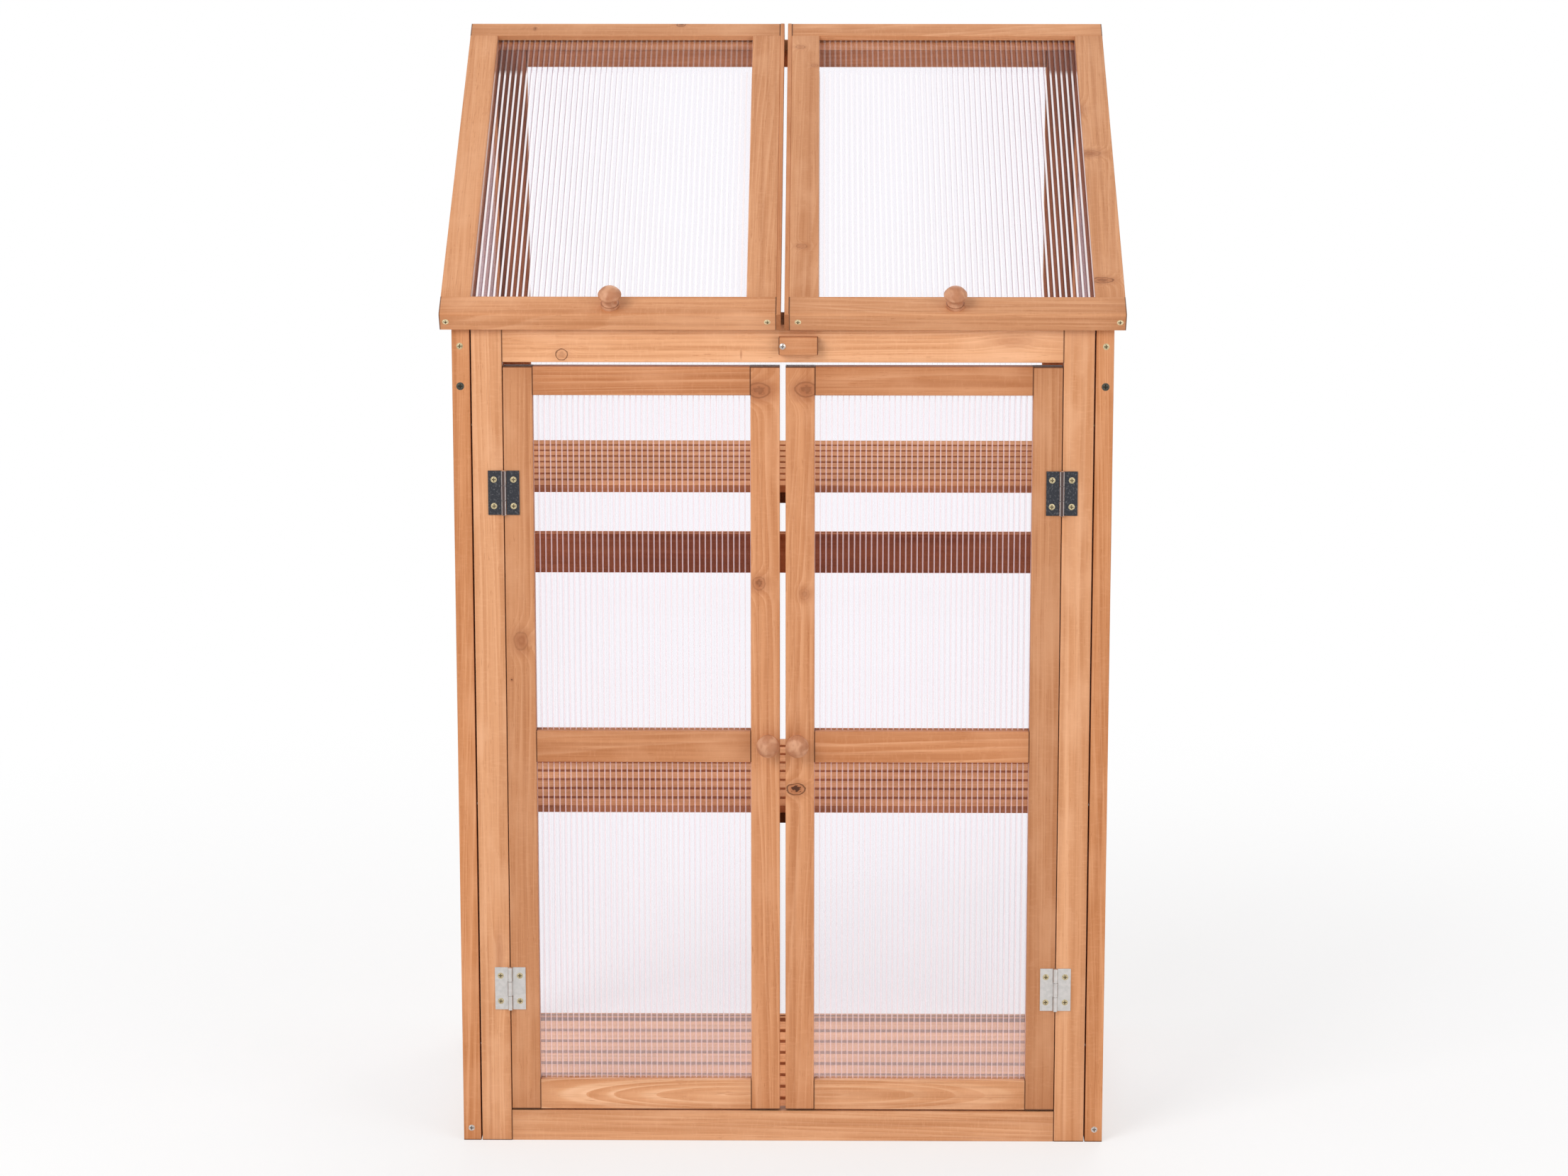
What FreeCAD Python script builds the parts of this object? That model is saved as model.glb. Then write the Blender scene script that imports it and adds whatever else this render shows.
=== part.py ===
import FreeCAD
import Part
import math
import os

# A wooden mini greenhouse that stands on the ground: a cabinet with a sloping roof, glazed all
# round with clear twin-wall sheet. It has two doors in front, two lids on top, two shelves and a
# floor grid. Sizes are in millimetres. X is to the right, Y runs from the front face to the
# back, Z is up. The pieces are built with Y = 0 on the cabinet's front face and moved at the end.

Vector = FreeCAD.Vector
RIGHT = Vector(1, 0, 0)
FRONT = Vector(0, -1, 0)
BACK = Vector(0, 1, 0)
UP = Vector(0, 0, 1)
DOWN = Vector(0, 0, -1)

# Cabinet
cabinet_width = 736.0
cabinet_depth = 458.0
front_height = 946.0
back_height = 1240.0

# Boards of the walls and doors
board_thickness = 20.0
wall_board_width = 34.0
arris_radius = 1.0
joint_gap = 1.5

# Front frame
front_top_rail_bottom = 904.0
front_bottom_rail_top = 36.0

# Side walls
side_top_rail_width = 44.0
eaves_rail_bottom = 859.5
eaves_rail_height = 35.0
side_bottom_rail_height = 35.0
side_pane_inset = 4.0

# Back wall
back_top_rail_bottom = 1207.0
back_mid_rail_bottom = 586.0
back_mid_rail_height = 49.0
back_bottom_rail_height = 14.0

# Twin-wall sheet
pane_thickness = 4.0
pane_skin = 0.4
pane_rib = 0.4
pane_rib_pitch = 6.4
pane_in_groove = 7.0
groove_depth = 8.0
groove_clearance = 0.1

# Doors
door_bottom = 38.0
door_top_gap = 5.0
door_side_gap = 1.0
door_middle_gap = 6.5
door_stile_width = 32.5
door_top_rail_height = 32.0
door_mid_rail_bottom = 448.0
door_mid_rail_height = 36.0
door_bottom_rail_height = 35.0
door_knob_height = 470.0
door_knob_inset = 13.2

# Lids
lid_side_overhang = 12.0
lid_front_overhang = 8.0
lid_middle_gap = 4.0
lid_seat_gap = 0.3
lid_thickness = 22.0
lid_stile_width = 33.0
lid_front_rail_width = 31.0
lid_back_rail_width = 25.0
lid_lath_width = 5.0
lid_pane_recess = 7.0
lid_front_arris_radius = 3.0
lid_hinge_inset = 100.0

# Shelves and floor grid
slat_count = 8
slat_width = 33.0
slat_pitch = 44.6
slat_thickness = 8.5
slat_end_gap = 0.8
bearer_width = 20.0
bearer_height = 12.0
upper_shelf_top = 757.0
middle_shelf_top = 384.0
cleat_width = 16.0
cleat_height = 20.0
cleat_end_gap = 0.5
bearer_cleat_gap = 2.0
slat_arris_radius = 0.8

# Butt hinges
hinge_length = 50.0
hinge_reach = 17.5
hinge_leaf_thickness = 1.2
knuckle_radius = 2.6
knuckle_gap = 0.4
knuckle_count = 3
hinge_axis_offset = 2.9
hinge_plate_start = 3.0
hinge_pin_radius = 1.3
hinge_pin_clearance = 0.05
pin_head_radius = 2.0
pin_head_height = 0.8
hinge_screw_reach = 11.0
hinge_screw_spread = 15.0
door_hinge_heights = (182.0, 757.0)

# Turn button
button_width = 20.0
button_length = 43.8
button_thickness = 12.0
button_pivot_end = 4.4
button_pivot_height = 923.5
button_clearance = 0.3
button_arris_radius = 1.5
button_screw_clearance = 0.1

# Turned knobs
knob_height = 25.0
knob_cap_radius = 13.0
knob_base_radius = 10.4
knob_base_height = 3.2
knob_groove_depth = 1.2
knob_groove_width = 1.2
knob_neck_radius = 7.4

# Screws and nails, each a length, a shank radius and a head radius
hinge_screw = (14.0, 1.6, 3.5)
eaves_screw = (60.0, 2.2, 4.4)
rail_screw = (60.0, 1.75, 3.6)
frame_screw_bite = 16.0
frame_screw = (wall_board_width + frame_screw_bite, 1.75, 3.6)
cleat_screw = (30.0, 1.5, 3.0)
knob_screw = (30.0, 1.75, 3.6)
lid_screw = (55.0, 1.75, 3.6)
pivot_screw = (28.0, 1.9, 3.4)
nail = (16.0, 0.9, 1.8)
screw_head_rise = 0.4
pivot_head_height = 2.0
nail_head_height = 0.6
recess_width = 0.9
recess_depth = 1.3
recess_share = 0.6
side_screw_offset = 9.0
side_top_screw_height = 922.0
side_bottom_screw_height = 14.6
lid_screw_inner = 10.0
lid_screw_outer = 7.0
cleat_screw_end = 3.5
fixing_shares = (0.12, 0.42, 0.88)
back_fixing_depth = 4.0

# What follows from the sizes above
half_width = cabinet_width / 2
side_inner = half_width - board_thickness
frame_outer = side_inner - joint_gap
frame_stile_inner = frame_outer - wall_board_width
back_inner = cabinet_depth - board_thickness
roof_pitch = math.atan2(back_height - front_height, cabinet_depth)
roof_cos = math.cos(roof_pitch)
roof_sin = math.sin(roof_pitch)
roof_tan = math.tan(roof_pitch)
up_slope = Vector(0, roof_cos, roof_sin)
off_slope = Vector(0, -roof_sin, roof_cos)
front_post_back = wall_board_width
back_post_front = cabinet_depth - wall_board_width

door_top = front_top_rail_bottom - door_top_gap
door_inner = door_middle_gap / 2
door_outer = frame_stile_inner - door_side_gap
door_hinge_x = (frame_stile_inner + door_outer) / 2

lid_inner = lid_middle_gap / 2
lid_outer = half_width + lid_side_overhang
lid_length = (cabinet_depth + lid_front_overhang) / roof_cos
lid_frame_inner = lid_inner + lid_lath_width

shelf_depth = (slat_count - 1) * slat_pitch + slat_width
shelf_front = (board_thickness + back_inner - shelf_depth) / 2
shelf_end = side_inner - slat_end_gap
bearer_outer = side_inner - cleat_width - bearer_cleat_gap
floor_grid_top = bearer_height + slat_thickness


def roof_height(y):
    """Height of the cabinet's sloping top at a distance behind its front face."""
    return front_height + y * roof_tan


def block(x, y, z):
    """A rectangular block, from the low and high of each direction."""
    return Part.makeBox(x[1] - x[0], y[1] - y[0], z[1] - z[0], Vector(x[0], y[0], z[0]))


def side_prism(outline, x):
    """A prism along X whose section is an outline of (Y, Z) points."""
    points = [Vector(x[0], y, z) for y, z in outline]
    face = Part.Face(Part.makePolygon(points + points[:1]))
    return face.extrude(Vector(x[1] - x[0], 0, 0))


def turned(outline):
    """A solid turned about Z from a closed list of edges, the last of them on the axis."""
    return Part.Face(Part.Wire(outline)).revolve(Vector(0, 0, 0), UP, 360)


def on_section(radius, height):
    """A point of a turned section."""
    return Vector(radius, 0, height)


def straight(start, end):
    """A straight edge of a turned section."""
    return Part.makeLine(on_section(*start), on_section(*end))


def curved(start, middle, end):
    """An arc of a turned section through three points."""
    return Part.Arc(on_section(*start), on_section(*middle), on_section(*end)).toShape()


def dome(radius, base, top):
    """A round top for a turned section, from its rim to the axis."""
    rise = top - base
    centre = top - (radius**2 + rise**2) / (2 * rise)
    to_rim = Vector(radius, 0, base - centre)
    halfway = (to_rim + Vector(0, 0, top - centre)).normalize() * to_rim.Length
    return curved((radius, base), (halfway.x, centre + halfway.z), (0, top))


def placed(shape, place, x_way, y_way):
    """A copy whose X and Y axes point the two ways, moved to a place."""
    turn = FreeCAD.Rotation(x_way, y_way, x_way.cross(y_way), "XYZ")
    piece = shape.copy()
    piece.Placement = FreeCAD.Placement(place, turn).multiply(piece.Placement)
    return piece


def facing(shape, place, way):
    """A copy of an upright shape that points the given way, moved to a place."""
    across = UP if abs(way.dot(RIGHT)) > 0.5 else RIGHT
    return placed(shape, place, across, way.cross(across))


def mirrored(shapes):
    """The shapes on the other side of the greenhouse."""
    return [shape.mirror(Vector(0, 0, 0), RIGHT) for shape in shapes]


def edges_along(shape, grain):
    """The straight edges that run with the grain."""
    found = []
    for edge in shape.Edges:
        run = edge.Vertexes[-1].Point - edge.Vertexes[0].Point
        if run.Length > 0 and abs(abs(run.normalize().dot(grain)) - 1) < 1e-6:
            found.append(edge)
    return found


def soften(board, grain, radius=arris_radius):
    """The board with its long edges rounded."""
    return board.makeFillet(radius, edges_along(board, grain))


def carve(shapes, tools):
    """The shapes with the tools that reach them cut away."""
    left = []
    for shape in shapes:
        near = [tool for tool in tools if tool.BoundBox.intersect(shape.BoundBox)]
        if near:
            shape = shape.cut(near)
        left.extend(shape.Solids)
    return left


def rectangle(x_middle, y_middle, width, depth):
    """A closed rectangular wire in the XY plane."""
    corners = []
    for across, along in ((-1, -1), (1, -1), (1, 1), (-1, 1)):
        corners.append(Vector(x_middle + across * width / 2, y_middle + along * depth / 2, 0))
    return Part.makePolygon(corners + corners[:1])


def twin_wall(width, length):
    """Hollow sheet standing on Z = 0, centred on X and Y, with its channels along Z."""
    count = int((width - pane_rib) // pane_rib_pitch)
    channel_width = pane_rib_pitch - pane_rib
    channel_depth = pane_thickness - 2 * pane_skin
    wires = [rectangle(0, 0, width, pane_thickness)]
    for n in range(count):
        middle = (n - (count - 1) / 2) * pane_rib_pitch
        wires.append(rectangle(middle, 0, channel_width, channel_depth))
    section = Part.makeFace(wires, "Part::FaceMakerBullseye")
    return section.extrude(Vector(0, 0, length))


def front_pane(x, z, y_middle):
    """A pane that faces the front and fills an opening, with the groove it stands in."""
    width = x[1] - x[0] + 2 * pane_in_groove
    length = z[1] - z[0] + 2 * pane_in_groove
    middle = (x[0] + x[1]) / 2
    pane = twin_wall(width, length)
    pane.translate(Vector(middle, y_middle, z[0] - pane_in_groove))
    half_groove = pane_thickness / 2 + groove_clearance
    groove = block(
        (x[0] - groove_depth, x[1] + groove_depth),
        (y_middle - half_groove, y_middle + half_groove),
        (z[0] - groove_depth, z[1] + groove_depth),
    )
    return pane, groove


def driven(length, shank_radius, head_radius, recessed=True):
    """A countersunk screw that points down, with its head's rim at Z = 0."""
    neck = shank_radius - head_radius
    point = -length + 2 * shank_radius
    outline = [
        straight((0, -length), (shank_radius, point)),
        straight((shank_radius, point), (shank_radius, neck)),
        straight((shank_radius, neck), (head_radius, 0)),
        dome(head_radius, 0, screw_head_rise),
        straight((0, screw_head_rise), (0, -length)),
    ]
    screw = turned(outline)
    if not recessed:
        return screw
    return screw.cut(cross_recess(head_radius, screw_head_rise)).Solids[0]


def cross_recess(head_radius, top):
    """The cross that a driver fits, down from the top of a screw's head."""
    reach = head_radius * recess_share
    deep = (top - recess_depth, top + 1)
    slot = (-recess_width / 2, recess_width / 2)
    return block((-reach, reach), slot, deep).fuse(block(slot, (-reach, reach), deep))


def pan_head(length, shank_radius, head_radius):
    """A round-headed screw that points down, with the underside of its head at Z = 0."""
    point = -length + 2 * shank_radius
    outline = [
        straight((0, -length), (shank_radius, point)),
        straight((shank_radius, point), (shank_radius, 0)),
        straight((shank_radius, 0), (head_radius, 0)),
        straight((head_radius, 0), (head_radius, pivot_head_height * 0.4)),
        dome(head_radius, pivot_head_height * 0.4, pivot_head_height),
        straight((0, pivot_head_height), (0, -length)),
    ]
    return turned(outline).cut(cross_recess(head_radius, pivot_head_height)).Solids[0]


def screws_at(kind, places, way):
    """Screws whose heads face the way, and the holes that they fill."""
    screw = driven(*kind)
    hole = driven(*kind, recessed=False)
    screws = [facing(screw, place, way) for place in places]
    holes = [facing(hole, place, way) for place in places]
    return screws, holes


def knob():
    """A turned mushroom knob standing on Z = 0."""
    collar = knob_base_height + knob_groove_width
    groove_radius = knob_base_radius - knob_groove_depth
    waist = collar + (knob_height - collar) * 0.2
    cap_bottom = collar + (knob_height - collar) * 0.42
    cap_edge = collar + (knob_height - collar) * 0.53
    cap_shoulder = collar + (knob_height - collar) * 0.64
    outline = [
        straight((0, 0), (knob_base_radius, 0)),
        straight((knob_base_radius, 0), (knob_base_radius, knob_base_height)),
        straight((knob_base_radius, knob_base_height), (groove_radius, knob_base_height)),
        straight((groove_radius, knob_base_height), (groove_radius, collar)),
        curved(
            (groove_radius, collar),
            (knob_neck_radius, waist),
            (knob_cap_radius * 0.8, cap_bottom),
        ),
        curved(
            (knob_cap_radius * 0.8, cap_bottom),
            (knob_cap_radius, cap_edge),
            (knob_cap_radius * 0.93, cap_shoulder),
        ),
        dome(knob_cap_radius * 0.93, cap_shoulder, knob_height),
        straight((0, knob_height), (0, 0)),
    ]
    return turned(outline)


def knuckle_spans():
    """The low and high end of each knuckle along the hinge's axis."""
    long = (hinge_length - (knuckle_count - 1) * knuckle_gap) / knuckle_count
    spans = []
    for n in range(knuckle_count):
        low = -hinge_length / 2 + n * (long + knuckle_gap)
        spans.append((low, low + long))
    return spans


def hinge_leaf(which):
    """A leaf that reaches towards +X on wood at Y = hinge_axis_offset, turning about Z.
    which is 0 for the leaf with the end knuckles and 1 for the one between them."""
    plate_y = (hinge_axis_offset - hinge_leaf_thickness, hinge_axis_offset)
    leaf = block(
        (hinge_plate_start, hinge_reach), plate_y, (-hinge_length / 2, hinge_length / 2)
    )
    for span in knuckle_spans()[which::2]:
        height = span[1] - span[0]
        barrel = Part.makeCylinder(knuckle_radius, height, Vector(0, 0, span[0]))
        leaf = leaf.fuse([barrel, block((0, hinge_plate_start), plate_y, span)])
    bore = Part.makeCylinder(
        hinge_pin_radius + hinge_pin_clearance, hinge_length, Vector(0, 0, -hinge_length / 2)
    )
    surface = hinge_axis_offset - hinge_leaf_thickness
    places = []
    for along in (-hinge_screw_spread, hinge_screw_spread):
        places.append(Vector(hinge_screw_reach, surface, along))
    screws, holes = screws_at(hinge_screw, places, FRONT)
    return leaf.cut([bore] + holes).removeSplitter().Solids[0], screws, holes


def hinge_pin():
    """A pin along Z with a domed head at each end."""
    end = hinge_length / 2
    tip = end + pin_head_height
    outline = [
        dome(pin_head_radius, -end, -tip),
        straight((pin_head_radius, -end), (hinge_pin_radius, -end)),
        straight((hinge_pin_radius, -end), (hinge_pin_radius, end)),
        straight((hinge_pin_radius, end), (pin_head_radius, end)),
        dome(pin_head_radius, end, tip),
        straight((0, tip), (0, -tip)),
    ]
    return turned(outline)


def hinge_half(which, place, x_way, y_way):
    """A leaf with its screws and their holes, set with the leaf and wood on the given ways."""
    leaf, screws, holes = hinge_leaf(which)
    moved = []
    for group in ([leaf], screws, holes):
        moved.append([placed(shape, place, x_way, y_way) for shape in group])
    return moved


def front_frame():
    """The frame round the doors, set between the side walls."""
    slope_top = [(0, roof_height(0)), (board_thickness, roof_height(board_thickness))]
    stiles = []
    for x in ((-frame_outer, -frame_stile_inner), (frame_stile_inner, frame_outer)):
        outline = [(board_thickness, 0), (0, 0)] + slope_top
        stiles.append(soften(side_prism(outline, x), UP))
    outline = [(board_thickness, front_top_rail_bottom), (0, front_top_rail_bottom)] + slope_top
    across = (-frame_stile_inner, frame_stile_inner)
    top_rail = soften(side_prism(outline, across), RIGHT)
    bottom_rail = soften(block(across, (0, board_thickness), (0, front_bottom_rail_top)), RIGHT)
    return {
        "front_frame_stiles": stiles,
        "front_frame_top_rail": [top_rail],
        "front_frame_bottom_rail": [bottom_rail],
    }


def side_pane(outline, opening_bottom, opening_top):
    """A pane of a side wall: twin-wall sheet cut to an outline of (Y, Z) points."""
    length = opening_top - opening_bottom
    middle = (front_post_back + back_post_front) / 2
    width = back_post_front - front_post_back + 2 * pane_in_groove
    x_middle = side_inner + side_pane_inset + pane_thickness / 2
    sheet = twin_wall(width, length)
    sheet = placed(sheet, Vector(x_middle, middle, opening_bottom), BACK, RIGHT * -1)
    cutter = side_prism(outline, (x_middle - pane_thickness, x_middle + pane_thickness))
    return sheet.common(cutter).Solids[0]


def side_opening(bottom, top_line, grow):
    """The outline of an opening between the posts, grown on all sides."""
    front = front_post_back - grow
    back = back_post_front + grow
    return [
        (front, bottom - grow),
        (back, bottom - grow),
        (back, top_line(back, grow)),
        (front, top_line(front, grow)),
    ]


def side_wall():
    """The right side wall: two posts, a sloping top rail, two cross rails and two panes."""
    thickness = (side_inner, half_width)
    between = (front_post_back, back_post_front)
    posts = []
    for y in ((0, front_post_back), (back_post_front, cabinet_depth)):
        outline = [(y[1], 0), (y[0], 0), (y[0], roof_height(y[0])), (y[1], roof_height(y[1]))]
        posts.append(soften(side_prism(outline, thickness), UP))
    drop = side_top_rail_width / roof_cos
    outline = [(y, roof_height(y)) for y in between]
    outline += [(y, roof_height(y) - drop) for y in reversed(between)]
    top_rail = soften(side_prism(outline, thickness), up_slope)
    eaves_rail_top = eaves_rail_bottom + eaves_rail_height
    cross_rails = []
    for z in ((0, side_bottom_rail_height), (eaves_rail_bottom, eaves_rail_top)):
        cross_rails.append(soften(block(thickness, between, z), BACK))

    def under_eaves(y, grow):
        return eaves_rail_bottom + grow

    def under_slope(y, grow):
        return roof_height(y) - drop + grow / roof_cos

    x_low = side_inner + side_pane_inset - groove_clearance
    x_high = x_low + pane_thickness + 2 * groove_clearance
    panes = []
    grooves = []
    for bottom, top_line in (
        (side_bottom_rail_height, under_eaves),
        (eaves_rail_top, under_slope),
    ):
        outline = side_opening(bottom, top_line, pane_in_groove)
        top = max(z for y, z in outline)
        panes.append(side_pane(outline, bottom - pane_in_groove, top))
        grooves.append(side_prism(side_opening(bottom, top_line, groove_depth), (x_low, x_high)))

    screw_x = half_width - side_screw_offset
    eaves_middle = eaves_rail_bottom + eaves_rail_height / 2
    back_top_height = roof_height(back_post_front) - drop / 2
    screws = []
    holes = []
    for kind, height, y, way in (
        (rail_screw, side_bottom_screw_height, 0, FRONT),
        (eaves_screw, eaves_middle, 0, FRONT),
        (rail_screw, side_top_screw_height, 0, FRONT),
        (rail_screw, side_bottom_screw_height, cabinet_depth, BACK),
        (eaves_screw, eaves_middle, cabinet_depth, BACK),
        (rail_screw, back_top_height, cabinet_depth, BACK),
    ):
        fixing = screws_at(kind, [Vector(screw_x, y, height)], way)
        screws += fixing[0]
        holes += fixing[1]
    tools = grooves + holes
    nodes = {
        "front_post": carve(posts[:1], tools),
        "back_post": carve(posts[1:], tools),
        "top_rail": carve([top_rail], tools),
        "cross_rails": carve(cross_rails, tools),
        "panes": panes,
    }
    return nodes, screws


def back_wall():
    """The back wall, set between the side walls: two stiles, three rails and two panes."""
    thickness = (back_inner, cabinet_depth)
    stile_inner = side_inner - wall_board_width
    slope_top = [(y, roof_height(y)) for y in thickness]
    stiles = []
    for x in ((-side_inner, -stile_inner), (stile_inner, side_inner)):
        outline = [(cabinet_depth, 0), (back_inner, 0)] + slope_top
        stiles.append(soften(side_prism(outline, x), UP))
    across = (-stile_inner, stile_inner)
    outline = [(cabinet_depth, back_top_rail_bottom), (back_inner, back_top_rail_bottom)]
    top_rail = soften(side_prism(outline + slope_top, across), RIGHT)
    back_mid_rail_top = back_mid_rail_bottom + back_mid_rail_height
    mid_rail = soften(block(across, thickness, (back_mid_rail_bottom, back_mid_rail_top)), RIGHT)
    bottom_rail = soften(block(across, thickness, (0, back_bottom_rail_height)), RIGHT)
    panes = []
    grooves = []
    for z in (
        (back_bottom_rail_height, back_mid_rail_bottom),
        (back_mid_rail_top, back_top_rail_bottom),
    ):
        pane, groove = front_pane(across, z, (back_inner + cabinet_depth) / 2)
        panes.append(pane)
        grooves.append(groove)
    return {
        "back_wall_stiles": carve(stiles, grooves),
        "back_wall_top_rail": carve([top_rail], grooves),
        "back_wall_mid_rail": carve([mid_rail], grooves),
        "back_wall_bottom_rail": carve([bottom_rail], grooves),
        "back_wall_panes": panes,
    }


def shelf(top):
    """Slats that run across and the bearers and nails under them."""
    slats = []
    fronts = [shelf_front + n * slat_pitch for n in range(slat_count)]
    for front in fronts:
        slat = block(
            (-shelf_end, shelf_end), (front, front + slat_width), (top - slat_thickness, top)
        )
        slats.append(soften(slat, RIGHT, slat_arris_radius))
    underside = top - slat_thickness
    bottom = underside - bearer_height
    bearer_edge = bearer_outer - bearer_width
    bearers = []
    nails = []
    for low in (-bearer_outer, -bearer_width / 2, bearer_edge):
        bearer = block(
            (low, low + bearer_width), (shelf_front, shelf_front + shelf_depth), (bottom, underside)
        )
        bearers.append(soften(bearer, BACK, slat_arris_radius))
        for front in fronts:
            place = Vector(low + bearer_width / 2, front + slat_width / 2, bottom)
            nails.append(placed(wire_nail(), place, RIGHT, FRONT))
    return carve(slats, nails), carve(bearers, nails), nails


def wire_nail():
    """A nail that points down, with the top of its head at Z = 0."""
    length, shank_radius, head_radius = nail
    outline = [
        straight((0, -length), (shank_radius, -length + 2 * shank_radius)),
        straight((shank_radius, -length + 2 * shank_radius), (shank_radius, -nail_head_height)),
        straight((shank_radius, -nail_head_height), (head_radius, -nail_head_height)),
        straight((head_radius, -nail_head_height), (head_radius, 0)),
        straight((head_radius, 0), (0, 0)),
        straight((0, 0), (0, -length)),
    ]
    return turned(outline)


def shelf_cleats():
    """The four strips on the side walls' posts that carry the two shelves."""
    length = (board_thickness + cleat_end_gap, back_inner - cleat_end_gap)
    cleats = []
    places = []
    for top in (middle_shelf_top, upper_shelf_top):
        high = top - slat_thickness
        cleat = block((side_inner - cleat_width, side_inner), length, (high - cleat_height, high))
        cleats.append(soften(cleat, BACK, slat_arris_radius))
        for y in (length[0] + cleat_screw_end, length[1] - cleat_screw_end):
            places.append(Vector(side_inner - cleat_width, y, high - cleat_height / 2))
    return cleats, screws_at(cleat_screw, places, RIGHT * -1)


def wall_fixings():
    """Screws through the front frame's and the back wall's stiles into the right side wall."""
    places = []
    for share in fixing_shares:
        places.append(Vector(frame_stile_inner, board_thickness / 2, front_height * share))
        back = Vector(side_inner - wall_board_width, back_inner, back_height * share)
        places.append(back + Vector(0, back_fixing_depth, 0))
    return screws_at(frame_screw, places, RIGHT * -1)


def door():
    """The right door: a frame with two panes, its knob and the hinge leaves that move."""
    thickness = (0, board_thickness)
    height = (door_bottom, door_top)
    inner_edge = door_inner + door_stile_width
    outer_edge = door_outer - door_stile_width
    across = (inner_edge, outer_edge)
    meeting_stile = soften(block((door_inner, inner_edge), thickness, height), UP)
    hinge_stile = soften(block((outer_edge, door_outer), thickness, height), UP)
    bottom_rail_top = door_bottom + door_bottom_rail_height
    mid_rail_top = door_mid_rail_bottom + door_mid_rail_height
    top_rail_bottom = door_top - door_top_rail_height
    rails = {
        "bottom_rail": (door_bottom, bottom_rail_top),
        "mid_rail": (door_mid_rail_bottom, mid_rail_top),
        "top_rail": (top_rail_bottom, door_top),
    }
    panes = []
    tools = []
    for z in ((bottom_rail_top, door_mid_rail_bottom), (mid_rail_top, top_rail_bottom)):
        pane, groove = front_pane(across, z, board_thickness / 2)
        panes.append(pane)
        tools.append(groove)

    knob_x = door_inner + door_knob_inset
    knob_place = Vector(knob_x, 0, door_knob_height)
    screw_place = Vector(knob_x, board_thickness, door_knob_height)
    screws, holes = screws_at(knob_screw, [screw_place], BACK)
    leaves = []
    for hinge_height in door_hinge_heights:
        place = Vector(door_hinge_x, -hinge_axis_offset, hinge_height)
        leaf, leaf_screws, leaf_holes = hinge_half(1, place, RIGHT * -1, BACK)
        leaves += leaf
        screws += leaf_screws
        holes += leaf_holes
    tools += holes
    nodes = {"stiles": carve([meeting_stile, hinge_stile], tools)}
    for name, z in rails.items():
        nodes[name] = carve([soften(block(across, thickness, z), RIGHT)], tools)
    nodes["panes"] = panes
    nodes["knob"] = carve([facing(knob(), knob_place, FRONT)], holes)
    nodes["hinge_leaves"] = leaves
    nodes["screws"] = screws
    return nodes


def lid_hinge_places():
    """Where the axis of each hinge of the right lid is: as far from the lid as from the wall."""
    corner = roof_height(cabinet_depth) + lid_seat_gap / roof_cos
    height = corner + hinge_axis_offset * math.tan(roof_pitch / 2)
    depth = cabinet_depth + hinge_axis_offset
    places = []
    for x in (lid_frame_inner + lid_hinge_inset, lid_outer - lid_hinge_inset):
        places.append(Vector(x, depth, height))
    return places


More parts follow.
